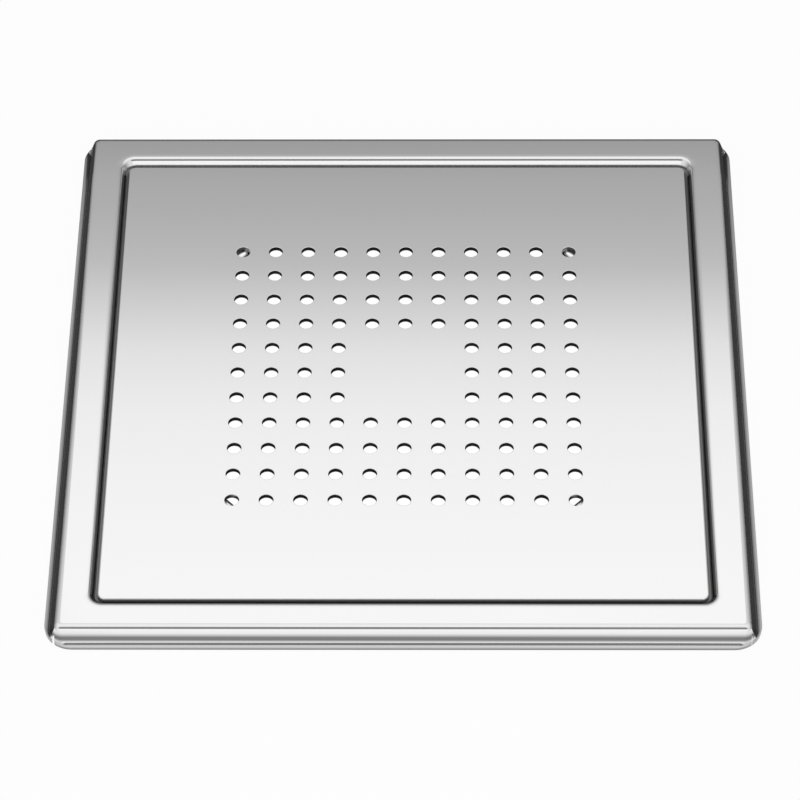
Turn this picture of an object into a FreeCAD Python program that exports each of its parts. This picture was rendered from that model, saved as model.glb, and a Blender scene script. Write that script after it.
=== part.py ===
# Square shower drain: a pressed stainless steel tile frame and the loose perforated plate in it.
#
# Millimetres. The origin is the middle of the frame's footprint, on the plane of the lip's
# underside, where the frame stands on the floor. +Z is up through the plate, and +Y points
# away from someone who looks at the drain from its front side.
import FreeCAD, Part
import math
import os

# Perforated plate
PLATE_WIDTH = 173.9
PLATE_THICKNESS = 1.5
HOLE_DIAMETER = 4.2
HOLE_PITCH = 10.0
HOLES_PER_SIDE = 11
BLANK_PER_SIDE = 3              # holes left out in the middle of the pattern, along each side
HOLE_OUTLINE_SIDES = 12         # a hole is drawn with this many sides, and a circle's area

# Sheet that the frame is pressed from
SHEET_THICKNESS = 1.0
BEND_INSIDE_RADIUS = 0.9        # on the hollow side of every bend
WALL_SHARE_FOR_BENDS = 0.45     # a bend takes at most this share of the wall that it ends

# Recess that the plate lies in, and the ledge that carries it
PLATE_CLEARANCE = 1.7           # from the plate's edge to the recess wall, all round
RECESS_CORNER_RADIUS = 4.0
RECESS_DEPTH = 3.0              # from the top of the border to the ledge
LEDGE_HEIGHT = 3.0              # from the floor to the ledge
LEDGE_WIDTH = 18.65             # from the recess wall to the opening, at the middle of a side
COLLAR_FLOOR_CLEARANCE = 0.5    # the turned down edge of the opening ends above the floor
COLLAR_BEND_FACETS = 3          # flat turned bands that the bend into the opening is made of

# Border and the thin lip at the foot of its outer walls
BORDER_WIDTH = 10.55            # from the recess wall to the outer face
LIP_REACH = 2.55
LIP_CORNER_RADIUS = 8.4

# Slit that parts the lips of two sides at each corner
SLIT_WIDTH = 0.6
SLIT_INSET = 0.7                # from the side face of the border to the slit's inner edge
SLIT_RISE = 0.1                 # past the top of the bend above the lip

# Reach of a cutting body past the surface that it opens
OVERCUT = 2.0

# Sizes that follow
PLATE_HALF = PLATE_WIDTH / 2
PLATE_CORNER_RADIUS = RECESS_CORNER_RADIUS - PLATE_CLEARANCE
RECESS_HALF = PLATE_HALF + PLATE_CLEARANCE
FACE_HALF = RECESS_HALF + BORDER_WIDTH
LIP_HALF = FACE_HALF + LIP_REACH
OPENING_RADIUS = RECESS_HALF - LEDGE_WIDTH
FRAME_HEIGHT = LEDGE_HEIGHT + RECESS_DEPTH
BEND_INSIDE = min(BEND_INSIDE_RADIUS, WALL_SHARE_FOR_BENDS * (RECESS_DEPTH - SHEET_THICKNESS))
BEND_OUTSIDE = BEND_INSIDE + SHEET_THICKNESS
COLLAR_ROOM = LEDGE_HEIGHT - SHEET_THICKNESS - COLLAR_FLOOR_CLEARANCE
COLLAR_BEND_INSIDE = min(BEND_INSIDE, WALL_SHARE_FOR_BENDS * 2 * COLLAR_ROOM)
UP = FreeCAD.Vector(0, 0, 1)


def square_block(half, bottom, top):
    """Upright block over a square with sharp corners, centred on the origin."""
    place = FreeCAD.Vector(-half, -half, bottom)
    return Part.makeBox(2 * half, 2 * half, top - bottom, place)


def rounded_square(half, corner, z):
    """Closed outline of a square with rounded corners, centred on the origin, at height z."""
    straight = half - corner
    middle = corner * math.sqrt(0.5)
    edges = []
    for quarter in range(4):
        start = FreeCAD.Vector(half, -straight, z)
        bend = FreeCAD.Vector(half, straight, z)
        crown = FreeCAD.Vector(straight + middle, straight + middle, z)
        end = FreeCAD.Vector(straight, half, z)
        turn = FreeCAD.Rotation(UP, 90 * quarter)
        edges.append(Part.LineSegment(turn.multVec(start), turn.multVec(bend)).toShape())
        arc = Part.Arc(turn.multVec(bend), turn.multVec(crown), turn.multVec(end))
        edges.append(arc.toShape())
    return Part.Wire(edges)


def rounded_block(half, corner, bottom, top):
    """Upright block over a rounded square."""
    outline = Part.Face(rounded_square(half, corner, bottom))
    return outline.extrude(UP * (top - bottom))


def loop_at(shape, z, reach):
    """Edges that lie flat at height z and belong to the loop whose sides are at reach."""
    loop = []
    for edge in shape.Edges:
        box = edge.BoundBox
        if abs(box.ZMin - z) > 0.001 or abs(box.ZMax - z) > 0.001:
            continue
        farthest = max(abs(box.XMin), abs(box.XMax), abs(box.YMin), abs(box.YMax))
        if abs(farthest - reach) < 0.001:
            loop.append(edge)
    return loop


def bend(shape, z, reach, radius):
    """Round the loop of edges at height z whose sides are at reach."""
    return shape.makeFillet(radius, loop_at(shape, z, reach))


def hidden_bend(shape, z, reach, radius):
    """The same from below, where no one sees it: a flat that touches the bend's arc halfway."""
    return shape.makeChamfer(radius * (2 - math.sqrt(2)), loop_at(shape, z, reach))


def frame_upper_side():
    """Solid block under the upper surface of the lip, the border and the ledge."""
    border = square_block(FACE_HALF, 0, FRAME_HEIGHT)
    border = bend(border, FRAME_HEIGHT, FACE_HALF, BEND_OUTSIDE)
    body = border.fuse(square_block(LIP_HALF, 0, SHEET_THICKNESS)).removeSplitter()
    body = bend(body, SHEET_THICKNESS, FACE_HALF, BEND_INSIDE)
    recess = rounded_block(RECESS_HALF, RECESS_CORNER_RADIUS, LEDGE_HEIGHT, FRAME_HEIGHT + OVERCUT)
    body = body.cut(recess)
    body = bend(body, FRAME_HEIGHT, RECESS_HALF, BEND_OUTSIDE)
    return bend(body, LEDGE_HEIGHT, RECESS_HALF, BEND_INSIDE)


def frame_hollow():
    """Space under the sheet: a channel below the border and a shallow one below the ledge."""
    ceiling = FRAME_HEIGHT - SHEET_THICKNESS
    ledge_ceiling = LEDGE_HEIGHT - SHEET_THICKNESS
    inside = FACE_HALF - SHEET_THICKNESS
    outside = RECESS_HALF + SHEET_THICKNESS
    corner = RECESS_CORNER_RADIUS + SHEET_THICKNESS
    hollow = square_block(inside, -OVERCUT, ceiling)
    hollow = hollow.cut(rounded_block(outside, corner, ledge_ceiling, FRAME_HEIGHT))
    hollow = bend(hollow, ceiling, inside, BEND_INSIDE)
    hollow = hidden_bend(hollow, ceiling, outside, BEND_INSIDE)
    return hidden_bend(hollow, ledge_ceiling, outside, BEND_OUTSIDE)


def arc_points(centre_radius, centre_z, radius, facets):
    """Points of a quarter turn in the XZ plane, from straight up to towards the axis."""
    points = []
    for step in range(facets + 1):
        angle = math.pi / 2 * (1 + step / facets)
        reach = centre_radius + radius * math.cos(angle)
        points.append(FreeCAD.Vector(reach, 0, centre_z + radius * math.sin(angle)))
    return points


def collar():
    """Inner rim of the ledge, which bends down into the round opening."""
    bend_outside = COLLAR_BEND_INSIDE + SHEET_THICKNESS
    centre_radius = OPENING_RADIUS + bend_outside
    centre_z = LEDGE_HEIGHT - bend_outside
    upper = arc_points(centre_radius, centre_z, bend_outside, COLLAR_BEND_FACETS)
    lower = arc_points(centre_radius, centre_z, COLLAR_BEND_INSIDE, 1)
    foot = [FreeCAD.Vector(OPENING_RADIUS, 0, COLLAR_FLOOR_CLEARANCE),
            FreeCAD.Vector(OPENING_RADIUS + SHEET_THICKNESS, 0, COLLAR_FLOOR_CLEARANCE)]
    section = upper + foot + lower[::-1]
    face = Part.Face(Part.makePolygon(section + section[:1]))
    return face.revolve(FreeCAD.Vector(0, 0, 0), UP, 360)


def slits():
    """Four narrow cuts through the lips, one at each corner, square to the front and back."""
    inner = FACE_HALF - SLIT_INSET
    start = FACE_HALF - SHEET_THICKNESS
    length = LIP_HALF + OVERCUT - start
    top = SHEET_THICKNESS + BEND_INSIDE + SLIT_RISE
    cuts = []
    for side_x in (-1, 1):
        for side_y in (-1, 1):
            corner_x = inner if side_x > 0 else -inner - SLIT_WIDTH
            corner_y = start if side_y > 0 else -start - length
            place = FreeCAD.Vector(corner_x, corner_y, -OVERCUT)
            cuts.append(Part.makeBox(SLIT_WIDTH, length, top + OVERCUT, place))
    return cuts


def tile_frame():
    """Pressed frame: lip, border, recess with its ledge, and the opening with its collar."""
    sheet = frame_upper_side().cut(frame_hollow())
    sheet = bend(sheet, 0, FACE_HALF - SHEET_THICKNESS, BEND_OUTSIDE)

    flat_ends_at = OPENING_RADIUS + COLLAR_BEND_INSIDE + SHEET_THICKNESS
    sheet = sheet.cut(Part.makeCylinder(flat_ends_at, FRAME_HEIGHT))
    sheet = sheet.fuse(collar())

    outline = rounded_block(LIP_HALF, LIP_CORNER_RADIUS, -OVERCUT, FRAME_HEIGHT + OVERCUT)
    return sheet.common(outline).cut(slits())


def hole_centres():
    """Square pattern of holes with a blank square in its middle."""
    middle = (HOLES_PER_SIDE - 1) / 2
    blank = (BLANK_PER_SIDE - 1) / 2
    centres = []
    for row in range(HOLES_PER_SIDE):
        for column in range(HOLES_PER_SIDE):
            in_blank = abs(row - middle) <= blank and abs(column - middle) <= blank
            if BLANK_PER_SIDE > 0 and in_blank:
                continue
            centres.append(((column - middle) * HOLE_PITCH, (row - middle) * HOLE_PITCH))
    return centres


def hole_outline(x, y, z):
    """Regular outline round a hole's centre, with the area of the hole's circle."""
    step = 2 * math.pi / HOLE_OUTLINE_SIDES
    reach = HOLE_DIAMETER / 2 * math.sqrt(step / math.sin(step))
    points = []
    for corner in range(HOLE_OUTLINE_SIDES + 1):
        angle = corner * step
        points.append(FreeCAD.Vector(x + reach * math.cos(angle), y + reach * math.sin(angle), z))
    return Part.makePolygon(points)


def grate_plate():
    """Flat plate that lies on the ledge, with its punched holes."""
    outlines = [rounded_square(PLATE_HALF, PLATE_CORNER_RADIUS, LEDGE_HEIGHT)]
    for x, y in hole_centres():
        outlines.append(hole_outline(x, y, LEDGE_HEIGHT))
    plate = Part.makeFace(outlines, "Part::FaceMakerBullseye")
    return plate.extrude(UP * PLATE_THICKNESS)


def one_solid(shape):
    """The single solid that a piece is, without the edges that the cuts left in flat faces."""
    solids = shape.removeSplitter().Solids
    if len(solids) != 1:
        raise ValueError("a piece has to be one solid, not %d" % len(solids))
    return solids[0]


def main():
    os.makedirs("parts", exist_ok=True)
    pieces = {"tile_frame": tile_frame(), "grate_plate": grate_plate()}
    for name, shape in pieces.items():
        solid = one_solid(shape)
        solid.exportStep("parts/%s.step" % name)
        box = solid.BoundBox
        print("%s: %.1f x %.1f x %.2f mm, %.1f cm3, valid %s" % (
            name, box.XLength, box.YLength, box.ZLength, solid.Volume / 1000, solid.isValid()))


main()
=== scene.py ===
# %% [markdown]
# A square shower drain in bright stainless steel. The object has two pieces: a tile frame pressed
# from one sheet, and a perforated plate that lies loose in it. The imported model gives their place
# and their main sizes, and this script gives them their real surface: fine bends, softened punched
# edges and a satin steel that mirrors a studio.

# %% Load the fixed frame
import math

import bmesh
import bpy
from mathutils import Matrix, Vector


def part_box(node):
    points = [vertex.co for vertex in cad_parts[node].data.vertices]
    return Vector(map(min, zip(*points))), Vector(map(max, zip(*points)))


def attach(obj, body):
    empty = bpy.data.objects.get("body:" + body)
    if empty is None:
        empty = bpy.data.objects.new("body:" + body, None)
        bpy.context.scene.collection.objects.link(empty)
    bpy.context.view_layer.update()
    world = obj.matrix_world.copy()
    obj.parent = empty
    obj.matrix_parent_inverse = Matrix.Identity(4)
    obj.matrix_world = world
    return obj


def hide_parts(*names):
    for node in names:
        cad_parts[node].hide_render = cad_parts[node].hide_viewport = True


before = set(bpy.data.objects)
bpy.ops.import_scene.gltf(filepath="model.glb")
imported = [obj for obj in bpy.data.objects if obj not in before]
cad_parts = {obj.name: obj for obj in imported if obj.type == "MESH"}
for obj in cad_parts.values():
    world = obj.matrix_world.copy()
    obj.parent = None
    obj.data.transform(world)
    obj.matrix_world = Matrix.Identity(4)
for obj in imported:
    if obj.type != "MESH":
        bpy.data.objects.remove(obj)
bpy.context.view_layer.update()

print("solids of the object:", ", ".join(sorted(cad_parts)))

# %% [markdown]
# All lengths are in metres, so a value in millimetres is multiplied by MM. The outer sizes come
# from the two solids. The others are the sheet's own: how thick it is, how tightly it is bent, and
# how wide the lip, the ledge and the gap round the plate are.

# %% Sizes of the frame and the plate
MM = 0.001
frame_low, frame_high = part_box("tile_frame")
plate_low, plate_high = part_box("grate_plate")

LIP_HALF = frame_high[0]
TOP_Z = frame_high[2]
PLATE_HALF = plate_high[0]
LEDGE_Z = plate_low[2]
PLATE_TOP_Z = plate_high[2]

SHEET = 1.0 * MM
BEND_IN = 0.9 * MM
BEND_OUT = BEND_IN + SHEET
LIP_REACH = 2.55 * MM
PLATE_GAP = 1.7 * MM
LEDGE_WIDTH = 18.65 * MM
COLLAR_END_Z = 0.5 * MM

FACE_HALF = LIP_HALF - LIP_REACH
RECESS_HALF = PLATE_HALF + PLATE_GAP
OPENING_RADIUS = RECESS_HALF - LEDGE_WIDTH
print("lip %.2f, border %.2f, recess %.2f, plate %.2f, opening %.2f mm" % tuple(
    size / MM for size in (2 * LIP_HALF, 2 * FACE_HALF, 2 * RECESS_HALF, 2 * PLATE_HALF,
                           2 * OPENING_RADIUS)))

# %% [markdown]
# The camera stands in front of the drain, nearly half way up to the zenith, and far off, so that
# the sides of the square converge only a little. A long lens goes with that distance.

# %% Camera
CAMERA_TARGET = Vector((-1.386, -11.048, 4.5)) * MM
CAMERA_DISTANCE = 1151.84 * MM
CAMERA_AZIMUTH = math.radians(0.918)
CAMERA_ELEVATION = math.radians(48.207)
CAMERA_ROLL = math.radians(-0.673)
SENSOR_WIDTH = 36.0
LENS_LENGTH = 174.55

scene = bpy.context.scene
camera_data = bpy.data.cameras.new("camera")
camera_data.sensor_width = SENSOR_WIDTH
camera_data.lens = LENS_LENGTH
camera = bpy.data.objects.new("camera", camera_data)
scene.collection.objects.link(camera)
towards_camera = Vector((math.cos(CAMERA_ELEVATION) * math.sin(CAMERA_AZIMUTH),
                         -math.cos(CAMERA_ELEVATION) * math.cos(CAMERA_AZIMUTH),
                         math.sin(CAMERA_ELEVATION)))
turn = (-towards_camera).to_track_quat("-Z", "Y").to_matrix().to_4x4()
camera.matrix_world = (Matrix.Translation(CAMERA_TARGET + CAMERA_DISTANCE * towards_camera)
                       @ turn @ Matrix.Rotation(CAMERA_ROLL, 4, "Z"))
scene.camera = camera
scene.view_settings.view_transform = "Standard"
print("camera at", [round(value / MM, 1) for value in camera.matrix_world.translation])


# %% [markdown]
# Polished and satin steel have almost no colour of their own: they show what surrounds them. So
# the studio is drawn first. The world is brightest overhead and grows darker towards the horizon,
# at the back and at the sides. In front it stays bright all the way down, and most of all in the
# middle. The camera itself sees plain white.

# %% Helpers for shader trees
def node(tree, kind, **inputs):
    """A new node, with values for the inputs that are named."""
    made = tree.nodes.new(kind)
    for name, value in inputs.items():
        made.inputs[name].default_value = value
    return made


def math_node(tree, operation, first, second=None):
    """A Math node on one or two sockets or numbers."""
    made = tree.nodes.new("ShaderNodeMath")
    made.operation = operation
    for slot, value in enumerate((first, second)):
        if value is None:
            continue
        if isinstance(value, (int, float)):
            made.inputs[slot].default_value = value
        else:
            tree.links.new(value, made.inputs[slot])
    return made.outputs[0]


def ramp(tree, factor, stops):
    """A Color Ramp of grey levels: stops are (position, level)."""
    made = tree.nodes.new("ShaderNodeValToRGB")
    elements = made.color_ramp.elements
    while len(elements) < len(stops):
        elements.new(0.5)
    for element, (position, level) in zip(elements, stops):
        element.position = position
        element.color = (level, level, level, 1)
    tree.links.new(factor, made.inputs["Fac"])
    return made.outputs["Color"]


def mix_numbers(tree, factor, first, second):
    """first where factor is 0, second where it is 1."""
    made = tree.nodes.new("ShaderNodeMix")
    made.data_type = "FLOAT"
    for slot, value in zip((0, 2, 3), (factor, first, second)):
        if isinstance(value, (int, float)):
            made.inputs[slot].default_value = value
        else:
            tree.links.new(value, made.inputs[slot])
    return made.outputs[0]


# %% World
AROUND_LEVELS = ((0, 0.27), (14, 0.38), (25, 0.52), (33, 0.68), (41, 0.84), (47, 0.98), (52, 1.08),
                 (60, 1.25), (75, 1.42))
FRONT_LEVEL = 1.15
FRONT_MIDDLE_LEVEL = 1.50
LEVEL_SCALE = 2.0
FRONT_TURN = (80, 130)
MIDDLE_TURN = (148, 164)


def by_elevation(tree, height, levels):
    """Light level for the height of a direction above the horizon."""
    stops = [(math.sin(math.radians(angle)), level / LEVEL_SCALE) for angle, level in levels]
    return math_node(tree, "MULTIPLY", ramp(tree, height, stops), LEVEL_SCALE)


def by_turn(tree, turned, span):
    """0 up to the first angle of span and 1 from the second on, in degrees from the back."""
    start, end = (angle / 180 for angle in span)
    return ramp(tree, turned, ((start, 0.0), (end, 1.0)))


world = bpy.data.worlds.new("studio")
scene.world = world
world.use_nodes = True
tree = world.node_tree
tree.nodes.clear()
where = node(tree, "ShaderNodeTexCoord")
parts = node(tree, "ShaderNodeSeparateXYZ")
tree.links.new(where.outputs["Generated"], parts.inputs[0])
height = parts.outputs["Z"]
around = by_elevation(tree, height, AROUND_LEVELS)

across = math_node(tree, "ABSOLUTE", parts.outputs["X"])
turned = math_node(tree, "ARCTAN2", across, parts.outputs["Y"])
turned = math_node(tree, "DIVIDE", turned, math.pi)
front_share = by_turn(tree, turned, FRONT_TURN)
middle_share = by_turn(tree, turned, MIDDLE_TURN)
front = mix_numbers(tree, middle_share, FRONT_LEVEL, FRONT_MIDDLE_LEVEL)
light = mix_numbers(tree, front_share, around, front)

path = node(tree, "ShaderNodeLightPath")
seen = mix_numbers(tree, path.outputs["Is Camera Ray"], light, 1.0)
background = node(tree, "ShaderNodeBackground")
tree.links.new(seen, background.inputs["Strength"])
output = node(tree, "ShaderNodeOutputWorld")
tree.links.new(background.outputs[0], output.inputs["Surface"])
print("world:", len(tree.nodes), "nodes")


# %% [markdown]
# The floor is pale. To the camera it is nearly white by itself, with a little of its real shading
# mixed in, so that a faint shadow stays under the lip. Three kinds of card are seen by reflections
# alone. Black cards on the floor, beside and behind the drain, draw the dark lines along its
# bends. An upright panel behind it is black at its foot and white at its top, and gives the flat
# metal its run of greys. A grey disc behind the camera darkens what faces the lens. A small sheet
# lies under the opening. The camera sees it white, as the photo is white through the holes, and
# everything else sees it nearly black, so that it doesn't light the walls of the holes.

# %% Helpers for the floor and the cards
def stage_plane(name, low, high, z):
    """A flat rectangle at height z, which isn't part of the object."""
    mesh = bpy.data.meshes.new(name)
    corners = [(low[0], low[1], z), (high[0], low[1], z), (high[0], high[1], z),
               (low[0], high[1], z)]
    mesh.from_pydata(corners, [], [(0, 1, 2, 3)])
    made = bpy.data.objects.new(name, mesh)
    scene.collection.objects.link(made)
    return made


def new_tree(name):
    """A material with an empty tree and its output node."""
    material = bpy.data.materials.new(name)
    material.use_nodes = True
    tree = material.node_tree
    tree.nodes.clear()
    return material, tree, tree.nodes.new("ShaderNodeOutputMaterial")


def floor_paint():
    """White to the camera and to reflections, with a share of real shading."""
    material, tree, output = new_tree("floor_paint")
    path = node(tree, "ShaderNodeLightPath")
    direct = math_node(tree, "MAXIMUM", path.outputs["Is Camera Ray"],
                       path.outputs["Is Glossy Ray"])
    share = math_node(tree, "MULTIPLY", direct, FLOOR_OWN_LIGHT)
    glow = node(tree, "ShaderNodeEmission", Color=(1, 1, 1, 1), Strength=1.0)
    matt = node(tree, "ShaderNodeBsdfDiffuse", Color=(FLOOR_GREY, FLOOR_GREY, FLOOR_GREY, 1))
    mix = tree.nodes.new("ShaderNodeMixShader")
    tree.links.new(share, mix.inputs[0])
    tree.links.new(matt.outputs[0], mix.inputs[1])
    tree.links.new(glow.outputs[0], mix.inputs[2])
    tree.links.new(mix.outputs[0], output.inputs["Surface"])
    return material


def card_paint(name, level, camera_level=None):
    """A card of one plain level. With camera_level, the camera sees it at that level."""
    material, tree, output = new_tree(name)
    glow = node(tree, "ShaderNodeEmission", Color=(1, 1, 1, 1), Strength=level)
    if camera_level is not None:
        path = node(tree, "ShaderNodeLightPath")
        tree.links.new(mix_numbers(tree, path.outputs["Is Camera Ray"], level, camera_level),
                       glow.inputs["Strength"])
    tree.links.new(glow.outputs[0], output.inputs["Surface"])
    return material


def only_in_reflections(card):
    """The card is seen by glossy rays alone."""
    card.visible_camera = False
    card.visible_diffuse = False
    card.visible_transmission = False
    card.visible_shadow = False


def reflection_card(name, mesh, paint):
    """An object made of a bmesh, with its paint, seen by reflections alone."""
    data = bpy.data.meshes.new(name)
    mesh.to_mesh(data)
    mesh.free()
    data.materials.append(paint)
    made = bpy.data.objects.new(name, data)
    scene.collection.objects.link(made)
    only_in_reflections(made)
    return made


# %% Floor
FLOOR_OWN_LIGHT = 0.9
FLOOR_GREY = 0.8
FLOOR_REACH = 3.0
FLOOR_DROP = 0.02 * MM
floor = stage_plane("floor", (-FLOOR_REACH, -FLOOR_REACH), (FLOOR_REACH, FLOOR_REACH),
                    -FLOOR_DROP)
floor.data.materials.append(floor_paint())
print("floor:", 2 * FLOOR_REACH, "m wide")

# %% Black cards beside and behind the drain
BLACK_LEVEL = 0.05
CARD_LIFT = 0.05 * MM
CARD_REACH = 400 * MM
CARD_GAP = 0.3 * MM
CARD_START = LIP_HALF + CARD_GAP
CARD_FRONT = -98 * MM
PANEL_PLACE = 120 * MM
black = card_paint("black_card", BLACK_LEVEL)
for name, low, high in (
        ("card_left", (-CARD_REACH, CARD_FRONT), (-CARD_START, CARD_REACH)),
        ("card_right", (CARD_START, CARD_FRONT), (CARD_REACH, CARD_REACH)),
        ("card_back", (-CARD_START, CARD_START), (CARD_START, PANEL_PLACE))):
    card = stage_plane(name, low, high, CARD_LIFT)
    card.data.materials.append(black)
    only_in_reflections(card)
print("black cards start %.2f mm from the middle" % (CARD_START / MM))

# %% Panel behind the drain
PANEL_HALF = 135 * MM
PANEL_HEIGHT = 300 * MM
PANEL_LEVELS = ((0, 0.02), (8 * MM, 0.07), (16 * MM, 0.20), (23 * MM, 0.38), (27 * MM, 0.43),
                (45 * MM, 0.52), (58 * MM, 0.55), (84 * MM, 0.65), (98 * MM, 0.77),
                (126 * MM, 0.99), (158 * MM, 1.11), (200 * MM, 1.17), (265 * MM, 1.22),
                (300 * MM, 1.22))


def panel_paint():
    """A glow whose level follows the height above the floor."""
    material, tree, output = new_tree("panel_paint")
    place = node(tree, "ShaderNodeTexCoord")
    parts = node(tree, "ShaderNodeSeparateXYZ")
    tree.links.new(place.outputs["Object"], parts.inputs[0])
    rise = math_node(tree, "DIVIDE", parts.outputs["Z"], PANEL_HEIGHT)
    stops = [(z / PANEL_HEIGHT, level / LEVEL_SCALE) for z, level in PANEL_LEVELS]
    strength = math_node(tree, "MULTIPLY", ramp(tree, rise, stops), LEVEL_SCALE)
    glow = node(tree, "ShaderNodeEmission")
    tree.links.new(strength, glow.inputs["Strength"])
    tree.links.new(glow.outputs[0], output.inputs["Surface"])
    return material


panel_mesh = bmesh.new()
corners = ((-PANEL_HALF, 0.0), (PANEL_HALF, 0.0), (PANEL_HALF, PANEL_HEIGHT),
           (-PANEL_HALF, PANEL_HEIGHT))
panel_mesh.faces.new([panel_mesh.verts.new((x, PANEL_PLACE, z)) for x, z in corners])
panel = reflection_card("panel_back", panel_mesh, panel_paint())
print("panel: %.0f by %.0f mm" % (2 * PANEL_HALF / MM, PANEL_HEIGHT / MM))

# %% Grey disc behind the camera
DARK_DISC_LEVEL = 0.30
DARK_DISC_ANGLE = math.radians(23)
DARK_DISC_BEHIND = 60 * MM
DARK_DISC_STEPS = 64
disc_distance = CAMERA_DISTANCE + DARK_DISC_BEHIND
disc_radius = disc_distance * math.tan(DARK_DISC_ANGLE)
disc_mesh = bmesh.new()
bmesh.ops.create_circle(disc_mesh, cap_ends=True, segments=DARK_DISC_STEPS, radius=disc_radius)
disc_mesh.transform(Matrix.Translation(CAMERA_TARGET + disc_distance * towards_camera) @ turn)
disc = reflection_card("dark_disc", disc_mesh, card_paint("dark_disc_paint", DARK_DISC_LEVEL))
print("disc: radius %.0f mm" % (disc_radius / MM))

# %% Sheet under the opening
UNDER_SHEET_HALF = OPENING_RADIUS + SHEET
# To all rays but the camera's the sheet is nearly black: painted shade for the hollow under the plate.
UNDER_SHADE_LEVEL = 0.02
WHITE = 1.0
under = stage_plane("under_sheet", (-UNDER_SHEET_HALF, -UNDER_SHEET_HALF),
                    (UNDER_SHEET_HALF, UNDER_SHEET_HALF), CARD_LIFT)
under.data.materials.append(card_paint("under_paint", UNDER_SHADE_LEVEL, WHITE))

# %% [markdown]
# A wide soft lamp hangs high above, a little to the front. It adds the soft shadow that ties the
# drain to the floor. Most of the light comes from the world, and the metal doesn't mirror the
# lamp, which would bleach the upper bends.

# %% Lamp
LAMP_HEIGHT = 1.6
LAMP_FORWARD = 0.25
LAMP_SIZE = 1.4
LAMP_POWER = 6.0
lamp_data = bpy.data.lights.new("softbox", "AREA")
lamp_data.shape = "SQUARE"
lamp_data.size = LAMP_SIZE
lamp_data.energy = LAMP_POWER
lamp = bpy.data.objects.new("softbox", lamp_data)
lamp.location = (0.0, -LAMP_FORWARD, LAMP_HEIGHT)
lamp.visible_glossy = False
scene.collection.objects.link(lamp)
print("lamp of", LAMP_POWER, "W")


# %% [markdown]
# Both pieces are the same bright stainless steel. Its finish is satin: too fine to show lines from
# here, yet it softens every reflection. The shader is a metal with a low roughness that wanders a
# little over the surface, and a faint bump of fine grain, drawn in object coordinates so that it
# stays on the metal. Only the tops are well polished: the pressed walls and the cut edges are
# duller, so the roughness follows the height. The colour follows the height too, as painted shade:
# the frame is painted darker low down, and darkest at the height of the ledge, where the recess's
# foot and the gap round the plate lie in shade, and the plate is painted darker on its edge and in
# its holes. The ledge under the plate is dull steel painted dark all over, as painted shade under
# the plate, and the ring next to the opening is one bright steel.

# %% Satin steel
HIGHEST_STOP = 8 * MM
CLOUD_SCALE = 18.0
GRAIN_SIZE = 0.9 * MM
GRAIN_DEPTH = 0.0004 * MM


def satin_steel(name, roughness, grey, shade_zones=None):
    """Steel of one grey, or with zones of (height, grey, dullness) that change it with height: the grey
    is painted shade, and the dullness adds roughness.

    Its roughness wanders a little, and a fine grain covers it."""
    material, tree, output = new_tree(name)
    place = node(tree, "ShaderNodeTexCoord")
    metal = node(tree, "ShaderNodeBsdfPrincipled", Metallic=1.0)
    metal.inputs["Base Color"].default_value = (grey, grey, grey, 1)

    cloud = node(tree, "ShaderNodeTexNoise", Scale=CLOUD_SCALE, Detail=3.0)
    tree.links.new(place.outputs["Object"], cloud.inputs["Vector"])
    level = math_node(tree, "SUBTRACT", cloud.outputs["Fac"], 0.5)
    level = math_node(tree, "MULTIPLY", level, 2 * ROUGHNESS_SPREAD)
    level = math_node(tree, "ADD", level, roughness)
    if shade_zones:
        parts = node(tree, "ShaderNodeSeparateXYZ")
        tree.links.new(place.outputs["Object"], parts.inputs[0])
        height = math_node(tree, "DIVIDE", parts.outputs["Z"], HIGHEST_STOP)
        # The grey that follows the height is painted shade.
        colour = ramp(tree, height, [(z / HIGHEST_STOP, shade) for z, shade, dull in shade_zones])
        tree.links.new(colour, metal.inputs["Base Color"])
        dull = ramp(tree, height, [(z / HIGHEST_STOP, dull) for z, shade, dull in shade_zones])
        level = math_node(tree, "ADD", level, dull)
    tree.links.new(level, metal.inputs["Roughness"])

    grain = node(tree, "ShaderNodeTexNoise", Scale=1 / GRAIN_SIZE, Detail=2.0)
    tree.links.new(place.outputs["Object"], grain.inputs["Vector"])
    bump = node(tree, "ShaderNodeBump", Strength=1.0, Distance=GRAIN_DEPTH)
    tree.links.new(grain.outputs["Fac"], bump.inputs["Height"])
    tree.links.new(bump.outputs[0], metal.inputs["Normal"])
    tree.links.new(metal.outputs[0], output.inputs["Surface"])
    return material


# %% The four steels
ROUGHNESS_SPREAD = 0.02
POLISHED = 0.76
# Each zone is (height, grey, dullness). The greys are painted shade: darker low on the frame and darkest
# at the ledge's height, in the recess's foot and the gap; darker on the plate's edge and in its holes.
FRAME_SHADE_ZONES = ((0.0, 0.30, 0.25), (0.9 * MM, 0.34, 0.2), (1.05 * MM, 0.55, 0.04),
               (1.7 * MM, 0.66, 0.02), (2.0 * MM, 0.45, 0.05), (2.4 * MM, 0.19, 0.2),
               (3.1 * MM, 0.20, 0.2), (3.6 * MM, 0.48, 0.08), (4.2 * MM, 0.74, 0.02),
               (4.8 * MM, POLISHED, 0.0))
PLATE_SHADE_ZONES = ((3.0 * MM, 0.34, 0.25), (4.15 * MM, 0.30, 0.25), (4.4 * MM, 0.6, 0.05),
               (4.46 * MM, POLISHED, 0.0))
FRAME_ROUGHNESS = 0.08
PLATE_ROUGHNESS = 0.09
LEDGE_ROUGHNESS = 0.33
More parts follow.
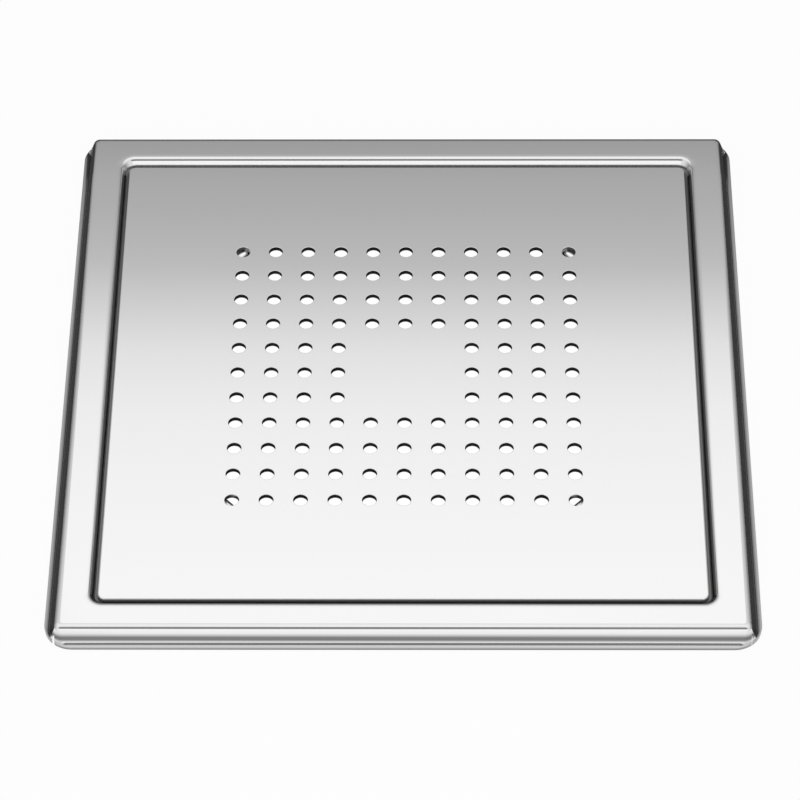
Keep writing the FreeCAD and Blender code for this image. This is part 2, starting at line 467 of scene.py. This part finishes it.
# The ledge's dark grey is painted shade under the plate.
LEDGE_SHADE_GREY = 0.14
COLLAR_ROUGHNESS = 0.06
COLLAR_GREY = 0.85
frame_steel = satin_steel("frame_steel", FRAME_ROUGHNESS, POLISHED, FRAME_SHADE_ZONES)
plate_steel = satin_steel("plate_steel", PLATE_ROUGHNESS, POLISHED, PLATE_SHADE_ZONES)
ledge_painted_shade_steel = satin_steel("ledge_painted_shade_steel", LEDGE_ROUGHNESS, LEDGE_SHADE_GREY)
collar_steel = satin_steel("collar_steel", COLLAR_ROUGHNESS, COLLAR_GREY)
print("materials:", frame_steel.name, plate_steel.name, ledge_painted_shade_steel.name, collar_steel.name)


# %% [markdown]
# The tile frame is one sheet, so its mesh is one closed band: loops round the square, one for each
# point of the sheet's section, from the lip over the border down to the ledge and into the round
# opening, then back along the hidden side. A bend is a run of close loops. Next to each bend a
# second loop lies close by on the flat, so that the smooth shading doesn't spill over it.

# %% Loops of the sheet
BEND_STEPS = 12
CORNER_STEPS = 16
SIDE_STEPS = 12
LOOP_POINTS = 4 * (CORNER_STEPS + SIDE_STEPS)
GUARD = 0.06 * MM
SHORTEST_RUN = 6 * GUARD


def square_loop(half, corner, z):
    """Points round a square with rounded corners, counterclockwise from the middle of its right side."""
    points = []
    straight = half - corner
    for quarter in range(4):
        turn = Matrix.Rotation(quarter * math.pi / 2, 2)
        side = []
        for step in range(SIDE_STEPS // 2):
            side.append((half, straight * step / (SIDE_STEPS // 2)))
        for step in range(CORNER_STEPS + 1):
            angle = math.pi / 2 * step / CORNER_STEPS
            side.append((straight + corner * math.cos(angle), straight + corner * math.sin(angle)))
        for step in range(1, SIDE_STEPS // 2):
            side.append((straight * (1 - step / (SIDE_STEPS // 2)), half))
        for point in side:
            flat = turn @ Vector(point)
            points.append(Vector((flat.x, flat.y, z)))
    return points


def round_loop(radius, z):
    """Points round a circle, as many as a square loop has."""
    points = []
    for step in range(LOOP_POINTS):
        angle = 2 * math.pi * step / LOOP_POINTS
        points.append(Vector((radius * math.cos(angle), radius * math.sin(angle), z)))
    return points


def with_guards(section):
    """The section with a second point close to each end of every long straight run."""
    made = []
    flat_points = [point[:2] for point in section]
    for index, point in enumerate(flat_points):
        made.append(point)
        following = flat_points[(index + 1) % len(section)]
        run = Vector(following) - Vector(point)
        if run.length > SHORTEST_RUN:
            step = run.normalized() * GUARD
            made.append(tuple(Vector(point) + step))
            made.append(tuple(Vector(following) - step))
    return made


def bridge(mesh, loops):
    """Quads between each loop and the next, and from the last to the first."""
    rings = [[mesh.verts.new(point) for point in loop] for loop in loops]
    for index, ring in enumerate(rings):
        following = rings[(index + 1) % len(rings)]
        for step in range(len(ring)):
            after = (step + 1) % len(ring)
            mesh.faces.new((ring[step], ring[after], following[after], following[step]))


# %% [markdown]
# The section has two halves. The outer half, with the lip, the border and the recess, goes round
# as squares. Their corner radius depends on how far out the loop lies: under 4 mm at the foot of
# the recess, 6 mm at its top, nearly a mitre at the outer end of the border's flat, and wide
# round the lip. The walls lean, and their upper bends start gently at the flat and tighten on
# the way down, as pressed steel does. The inner half, from the ledge into the opening, goes
# round as circles.

# %% Section of the sheet
RECESS_CORNER = 3.6 * MM
RECESS_CORNER_GROWTH = 0.8
SMALLEST_CORNER = 0.3 * MM
CLOSE_BY = 0.001 * MM
FLAT_CORNER = 0.9 * MM
FACE_CORNER = 1.9 * MM
LIP_CORNER = 8.4 * MM

BORDER_OUTER_END = 96.7 * MM
BORDER_INNER_END = 91.8 * MM
OUTER_BEND_LENGTH = 2.24 * MM
OUTER_BEND_POWER = 1.6
RECESS_BEND_LENGTH = 3.05 * MM
RECESS_BEND_POWER = 2.2
UPPER_BEND_STEPS = 22
OUTER_SLOPE = math.radians(64)
FOOT_BEND = 1.7 * MM
LIP_SLOPE = math.radians(8)
RECESS_SLOPE = math.radians(61)
RECESS_FOOT = 0.9 * MM


def arc(centre, radius, start, end, side):
    """Points of a section's arc: (half, z, tilt), where tilt is how far the sheet leans outwards.

    A positive radius is a bend over an edge, and a negative one a bend in a foot."""
    points = []
    for step in range(BEND_STEPS + 1):
        tilt = start + (end - start) * step / BEND_STEPS
        points.append((centre[0] + side * radius * math.sin(tilt),
                       centre[1] + radius * math.cos(tilt), side * tilt))
    return points


def pressed_bend(half, z, bend, slope, side):
    """Points of a bend that starts gently at the flat and tightens towards the wall.

    bend is its length and the power with which it tightens."""
    length, power = bend
    points = [(half, z, 0.0)]
    run = length / UPPER_BEND_STEPS
    for step in range(1, UPPER_BEND_STEPS + 1):
        middle = slope * ((step - 0.5) / UPPER_BEND_STEPS) ** power
        half += side * run * math.cos(middle)
        z -= run * math.sin(middle)
        points.append((half, z, side * slope * (step / UPPER_BEND_STEPS) ** power))
    return points


def pressed_wall(flat_end, bend, slope, foot_radius, end_tilt, low_z, reach, side):
    """The sheet from the end of the border's flat down a sloping wall to a lip or a ledge.

    It ends at low_z with end_tilt. Where reach is given, a straight tail ends there."""
    points = pressed_bend(flat_end, TOP_Z, bend, slope, side)
    half, z, tilt = points[-1]
    drop = z - low_z - foot_radius * (math.cos(end_tilt) - math.cos(slope))
    if reach is None:
        wall, tail = drop / math.sin(slope), 0.0
    else:
        run = side * (reach - half) - foot_radius * (math.sin(slope) - math.sin(end_tilt))
        scale = math.sin(slope - end_tilt)
        wall = (drop * math.cos(end_tilt) - run * math.sin(end_tilt)) / scale
        tail = (run * math.sin(slope) - drop * math.cos(slope)) / scale
    half += side * (wall * math.cos(slope) + foot_radius * math.sin(slope))
    z += foot_radius * math.cos(slope) - wall * math.sin(slope)
    points += arc((half, z), -foot_radius, slope, end_tilt, side)
    half, z, tilt = points[-1]
    print("wall %.2f mm, tail %.2f mm, foot ends at %.2f mm" % (wall / MM, tail / MM, half / MM))
    if tail > 0:
        points.append((half + side * tail * math.cos(end_tilt), z - tail * math.sin(end_tilt),
                       tilt))
    return points


def other_face(points):
    """The same stretch on the sheet's other face, a sheet's thickness away, in reverse."""
    return [(half - SHEET * math.sin(tilt), z - SHEET * math.cos(tilt), tilt)
            for half, z, tilt in reversed(points)]


def recess_corner(half):
    """Corner radius of a loop in the recess, which grows outwards up the leaning wall."""
    return max(RECESS_CORNER + RECESS_CORNER_GROWTH * (half - RECESS_HALF), SMALLEST_CORNER)


def corner_radius(half):
    """Corner radius of the square loop that lies at half."""
    if half < BORDER_INNER_END:
        return recess_corner(half)
    if half < BORDER_OUTER_END:
        share = (half - BORDER_INNER_END) / (BORDER_OUTER_END - BORDER_INNER_END)
        return recess_corner(BORDER_INNER_END - CLOSE_BY) * (1 - share) + FLAT_CORNER * share
    if half < FACE_HALF:
        share = (half - BORDER_OUTER_END) / (FACE_HALF - BORDER_OUTER_END)
        return FLAT_CORNER * (1 - share) + FACE_CORNER * share
    share = (half - FACE_HALF) / LIP_REACH
    return FACE_CORNER * (1 - share) + LIP_CORNER * share


lip_edge_z = SHEET * math.cos(LIP_SLOPE)
outer_wall = pressed_wall(BORDER_OUTER_END, (OUTER_BEND_LENGTH, OUTER_BEND_POWER), OUTER_SLOPE,
                          FOOT_BEND, LIP_SLOPE, lip_edge_z, LIP_HALF, 1)
recess_wall = pressed_wall(BORDER_INNER_END, (RECESS_BEND_LENGTH, RECESS_BEND_POWER),
                           RECESS_SLOPE, RECESS_FOOT, 0.0, LEDGE_Z, None, -1)
upper = outer_wall[::-1] + recess_wall
lower = other_face(upper)

rim_radius = OPENING_RADIUS + BEND_OUT
rim = arc((rim_radius, LEDGE_Z - BEND_OUT), BEND_OUT, 0.0, math.pi / 2, -1)
rim.append((OPENING_RADIUS, COLLAR_END_Z, -math.pi / 2))
rim += other_face(rim)
print("section points:", len(upper), len(rim), len(lower))


# %% Mesh of the tile frame
SMOOTH_LIMIT = math.radians(34)
WELD_DISTANCE = 0.002 * MM


def open_guards(section):
    """Guards on the runs inside an open section, without the run that would close it."""
    return with_guards(section + section[-1:])[:-1]


def finish_mesh(name, mesh, material):
    """A smooth shaded object with sharp edges where its faces meet steeply."""
    bmesh.ops.remove_doubles(mesh, verts=mesh.verts, dist=WELD_DISTANCE)
    bmesh.ops.recalc_face_normals(mesh, faces=mesh.faces)
    for face in mesh.faces:
        face.smooth = True
    for edge in mesh.edges:
        edge.smooth = len(edge.link_faces) == 2 and edge.calc_face_angle() < SMOOTH_LIMIT
    data = bpy.data.meshes.new(name)
    mesh.to_mesh(data)
    mesh.free()
    data.materials.append(material)
    made = bpy.data.objects.new(name, data)
    scene.collection.objects.link(made)
    return made


loops = [square_loop(half, corner_radius(half), z) for half, z in open_guards(upper)]
loops += [round_loop(radius, z) for radius, z in open_guards(rim)]
loops += [square_loop(half, corner_radius(half), z) for half, z in open_guards(lower)]
band = bmesh.new()
bridge(band, loops)
tile_frame = finish_mesh("tile_frame_sheet", band, frame_steel)
print("tile frame:", len(tile_frame.data.polygons), "faces")

# %% [markdown]
# At each corner a narrow slit parts the lips of two sides: the sheet was cut there before it was
# folded. The slits run away from the viewer. A Boolean modifier cuts them, and its result is kept
# as a plain mesh. Then the faces of the ledge get a steel painted dark as shade under the plate,
# and those of the ring their own bright steel.

# %% Slits at the corners
SLIT_INNER = FACE_HALF - 0.73 * MM
SLIT_TOP_Z = 3.4 * MM
SLIT_WIDTHS = {(-1, -1): 0.67 * MM, (1, -1): 0.16 * MM, (-1, 1): 0.43 * MM, (1, 1): 0.43 * MM}

slit_start = FACE_HALF - SHEET
slit_length = LIP_HALF + SHEET - slit_start
cutter_mesh = bmesh.new()
for (side_x, side_y), width in SLIT_WIDTHS.items():
    block = bmesh.ops.create_cube(cutter_mesh, size=1.0)["verts"]
    for vert in block:
        x = SLIT_INNER + width * (vert.co.x + 0.5)
        y = slit_start + slit_length * (vert.co.y + 0.5)
        z = -SHEET + (SLIT_TOP_Z + SHEET) * (vert.co.z + 0.5)
        vert.co = Vector((side_x * x, side_y * y, z))
cutter = finish_mesh("slit_cutter", cutter_mesh, frame_steel)

cut = tile_frame.modifiers.new("slits", "BOOLEAN")
cut.operation = "DIFFERENCE"
cut.solver = "MANIFOLD"
cut.object = cutter
bpy.context.view_layer.update()
evaluated = tile_frame.evaluated_get(bpy.context.evaluated_depsgraph_get())
sliced = bpy.data.meshes.new_from_object(evaluated)
tile_frame.modifiers.remove(cut)
bpy.data.objects.remove(cutter)
again = bmesh.new()
again.from_mesh(sliced)
bpy.data.objects.remove(tile_frame)
tile_frame = finish_mesh("tile_frame_sheet", again, frame_steel)
print("tile frame with slits:", len(tile_frame.data.polygons), "faces")

# %% Painted shade on the ledge, and steel of the ring
LEDGE_MARGIN = 0.3 * MM
LEDGE_TOLERANCE = 0.02 * MM
RING_WIDTH = 6 * MM
LEDGE_SLOT = 1
RING_SLOT = 2
ledge_outer_half = min(half for half, z, tilt in recess_wall) + LEDGE_MARGIN
# The ledge's steel is painted dark as shade under the plate; the ring's steel is bright.
tile_frame.data.materials.append(ledge_painted_shade_steel)
tile_frame.data.materials.append(collar_steel)
for polygon in tile_frame.data.polygons:
    x, y, z = polygon.center
    if max(abs(x), abs(y)) < ledge_outer_half and z < LEDGE_Z + LEDGE_TOLERANCE:
        in_ring = math.hypot(x, y) <= OPENING_RADIUS + RING_WIDTH
        polygon.material_index = RING_SLOT if in_ring else LEDGE_SLOT
for slot in (LEDGE_SLOT, RING_SLOT):
    count = sum(polygon.material_index == slot for polygon in tile_frame.data.polygons)
    print(tile_frame.data.materials[slot].name, "on", count, "faces")

# %% [markdown]
# The plate is punched: 112 round holes on a square grid, with the middle nine left out. That is
# what Geometry Nodes are for. One small tile holds a single hole with its rolled upper edge. The
# tree puts it on every point of a grid, puts a plain tile on the points of the blank middle, and
# joins them to the rim of the plate. The result is realized, turned into a plain mesh and welded.

# %% Tiles for the plate
HOLE_RADIUS = 2.1 * MM
HOLE_PITCH = 10.0 * MM
HOLES_PER_SIDE = 11
BLANK_PER_SIDE = 3
HOLE_STEPS = 32
TOP_ROLL = 0.14 * MM
UNDER_ROLL = 0.03 * MM
ROLL_STEPS = 4


def cell_loop(half, z, steps):
    """Points round a sharp square, counterclockwise from its lower left corner."""
    points = []
    for quarter in range(4):
        turn = Matrix.Rotation(quarter * math.pi / 2, 2)
        for step in range(steps):
            flat = turn @ Vector((-half + 2 * half * step / steps, -half))
            points.append(Vector((flat.x, flat.y, z)))
    return points


def hole_loop(radius, z):
    """Points round a hole that face the points of a cell's outline."""
    points = []
    for step in range(HOLE_STEPS):
        angle = 2 * math.pi * step / HOLE_STEPS - 3 * math.pi / 4
        points.append(Vector((radius * math.cos(angle), radius * math.sin(angle), z)))
    return points


def hole_section():
    """(radius, z) through a hole's wall, from the upper face to the lower one."""
    made = [(HOLE_RADIUS + TOP_ROLL + GUARD, PLATE_TOP_Z)]
    for step in range(ROLL_STEPS + 1):
        angle = math.pi / 2 * step / ROLL_STEPS
        made.append((HOLE_RADIUS + TOP_ROLL * (1 - math.sin(angle)),
                     PLATE_TOP_Z - TOP_ROLL * (1 - math.cos(angle))))
    made.append((HOLE_RADIUS, LEDGE_Z + UNDER_ROLL))
    made.append((HOLE_RADIUS + UNDER_ROLL, LEDGE_Z))
    return made


def hidden_object(name, mesh):
    """An object that only feeds the node tree."""
    data = bpy.data.meshes.new(name)
    mesh.to_mesh(data)
    mesh.free()
    return bpy.data.objects.new(name, data)


def open_bridge(mesh, loops):
    """Quads between each loop and the next."""
    rings = [[mesh.verts.new(point) for point in loop] for loop in loops]
    for ring, following in zip(rings, rings[1:]):
        for step in range(len(ring)):
            after = (step + 1) % len(ring)
            mesh.faces.new((ring[step], ring[after], following[after], following[step]))
    return rings


CELL_HALF = HOLE_PITCH / 2
CELL_STEPS = HOLE_STEPS // 4
tile_mesh = bmesh.new()
hole_loops = [hole_loop(radius, z) for radius, z in hole_section()]
open_bridge(tile_mesh, [cell_loop(CELL_HALF, PLATE_TOP_Z, CELL_STEPS)] + hole_loops
            + [cell_loop(CELL_HALF, LEDGE_Z, CELL_STEPS)])
hole_tile = hidden_object("hole_tile", tile_mesh)

blank_mesh = bmesh.new()
for z in (PLATE_TOP_Z, LEDGE_Z):
    blank_mesh.faces.new([blank_mesh.verts.new(point)
                          for point in cell_loop(CELL_HALF, z, CELL_STEPS)])
blank_tile = hidden_object("blank_tile", blank_mesh)
print("hole tile:", len(hole_tile.data.polygons), "faces")

# %% Rim of the plate
EDGE_ROLL = 0.35 * MM
UNDER_EDGE = 0.15 * MM
PLATE_CORNER = 2.3 * MM
PATTERN_HALF = HOLES_PER_SIDE * HOLE_PITCH / 2
RIM_STEPS = HOLES_PER_SIDE * CELL_STEPS
RIM_CORNER_STEPS = 16


def rim_loop(half, corner, z):
    """Points round the plate's edge, as many as the pattern's outline has, corners included."""
    points = []
    straight = half - corner
    for quarter in range(4):
        turn = Matrix.Rotation(quarter * math.pi / 2, 2)
        runs = RIM_STEPS - RIM_CORNER_STEPS
        side = []
        for step in range(RIM_CORNER_STEPS // 2):
            angle = math.radians(225 + 45 * step / (RIM_CORNER_STEPS // 2))
            side.append((-straight + corner * math.cos(angle),
                         -straight + corner * math.sin(angle)))
        for step in range(runs + 1):
            side.append((-straight + 2 * straight * step / runs, -half))
        for step in range(1, RIM_CORNER_STEPS // 2):
            angle = math.radians(270 + 45 * step / (RIM_CORNER_STEPS // 2))
            side.append((straight + corner * math.cos(angle),
                         -straight + corner * math.sin(angle)))
        for point in side:
            flat = turn @ Vector(point)
            points.append(Vector((flat.x, flat.y, z)))
    return points


def plate_section():
    """(inset, z) over the plate's edge, from the upper face to the lower one."""
    made = [(EDGE_ROLL + GUARD, PLATE_TOP_Z)]
    for step in range(ROLL_STEPS + 1):
        angle = math.pi / 2 * step / ROLL_STEPS
        made.append((EDGE_ROLL * (1 - math.sin(angle)),
                     PLATE_TOP_Z - EDGE_ROLL * (1 - math.cos(angle))))
    made.append((0.0, LEDGE_Z + UNDER_EDGE))
    made.append((UNDER_EDGE, LEDGE_Z))
    made.append((UNDER_EDGE + GUARD, LEDGE_Z))
    return made


rim_mesh = bmesh.new()
edge_loops = [rim_loop(PLATE_HALF - inset, PLATE_CORNER - inset, z)
              for inset, z in plate_section()]
open_bridge(rim_mesh, [cell_loop(PATTERN_HALF, PLATE_TOP_Z, RIM_STEPS)] + edge_loops
            + [cell_loop(PATTERN_HALF, LEDGE_Z, RIM_STEPS)])
plate_rim = hidden_object("grate_plate_rim", rim_mesh)
print("plate rim:", len(plate_rim.data.polygons), "faces")

# %% Node tree that lays the holes out
perforation = bpy.data.node_groups.new("perforation", "GeometryNodeTree")
face = perforation.interface
face.new_socket("Geometry", in_out="INPUT", socket_type="NodeSocketGeometry")
for name, kind in (("Hole tile", "NodeSocketObject"), ("Blank tile", "NodeSocketObject"),
                   ("Pitch", "NodeSocketFloat"), ("Holes per side", "NodeSocketInt"),
                   ("Blank per side", "NodeSocketInt"), ("Steel", "NodeSocketMaterial")):
    face.new_socket(name, in_out="INPUT", socket_type=kind)
face.new_socket("Geometry", in_out="OUTPUT", socket_type="NodeSocketGeometry")

links = perforation.links
entry = node(perforation, "NodeGroupInput")
leave = node(perforation, "NodeGroupOutput")
gaps = math_node(perforation, "SUBTRACT", entry.outputs["Holes per side"], 1.0)
span = math_node(perforation, "MULTIPLY", gaps, entry.outputs["Pitch"])
points = node(perforation, "GeometryNodeMeshGrid")
links.new(span, points.inputs["Size X"])
links.new(span, points.inputs["Size Y"])
links.new(entry.outputs["Holes per side"], points.inputs["Vertices X"])
links.new(entry.outputs["Holes per side"], points.inputs["Vertices Y"])

position = node(perforation, "GeometryNodeInputPosition")
axes = node(perforation, "ShaderNodeSeparateXYZ")
links.new(position.outputs[0], axes.inputs[0])
reach_x = math_node(perforation, "ABSOLUTE", axes.outputs["X"])
reach_y = math_node(perforation, "ABSOLUTE", axes.outputs["Y"])
reach = math_node(perforation, "MAXIMUM", reach_x, reach_y)
blank_cells = math_node(perforation, "MULTIPLY", entry.outputs["Blank per side"],
                        entry.outputs["Pitch"])
in_blank = math_node(perforation, "LESS_THAN", reach, math_node(
    perforation, "MULTIPLY", blank_cells, 0.5))
in_pattern = math_node(perforation, "SUBTRACT", 1.0, in_blank)

join = node(perforation, "GeometryNodeJoinGeometry")
links.new(entry.outputs["Geometry"], join.inputs[0])
for tile_name, chosen in (("Hole tile", in_pattern), ("Blank tile", in_blank)):
    tile_info = node(perforation, "GeometryNodeObjectInfo")
    links.new(entry.outputs[tile_name], tile_info.inputs["Object"])
    lay = node(perforation, "GeometryNodeInstanceOnPoints")
    links.new(points.outputs["Mesh"], lay.inputs["Points"])
    links.new(chosen, lay.inputs["Selection"])
    links.new(tile_info.outputs["Geometry"], lay.inputs["Instance"])
    links.new(lay.outputs[0], join.inputs[0])
realize = node(perforation, "GeometryNodeRealizeInstances")
paint = node(perforation, "GeometryNodeSetMaterial")
links.new(join.outputs[0], realize.inputs[0])
links.new(realize.outputs[0], paint.inputs["Geometry"])
links.new(entry.outputs["Steel"], paint.inputs["Material"])
links.new(paint.outputs[0], leave.inputs["Geometry"])
print("perforation tree:", len(perforation.nodes), "nodes")

# %% Perforated plate
scene.collection.objects.link(plate_rim)
pattern = plate_rim.modifiers.new("perforation", "NODES")
pattern.node_group = perforation
socket_ids = {item.name: item.identifier for item in perforation.interface.items_tree
              if item.in_out == "INPUT"}
for name, value in (("Hole tile", hole_tile), ("Blank tile", blank_tile), ("Pitch", HOLE_PITCH),
                    ("Holes per side", HOLES_PER_SIDE), ("Blank per side", BLANK_PER_SIDE),
                    ("Steel", plate_steel)):
    pattern[socket_ids[name]] = value
bpy.context.view_layer.update()
evaluated = plate_rim.evaluated_get(bpy.context.evaluated_depsgraph_get())
laid = bpy.data.meshes.new_from_object(evaluated)
plate_rim.modifiers.remove(pattern)
bpy.data.objects.remove(plate_rim)
welded = bmesh.new()
welded.from_mesh(laid)
grate_plate = finish_mesh("grate_plate_punched", welded, plate_steel)
print("plate:", len(grate_plate.data.polygons), "faces")

# %% [markdown]
# Both meshes take the place of their solids and ride on the only body.

# %% Hand the pieces to the frame
for piece, solid, finish in ((tile_frame, "tile_frame", "frame_steel"),
                             (grate_plate, "grate_plate", "plate_steel")):
    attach(piece, "root")
    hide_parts(solid)
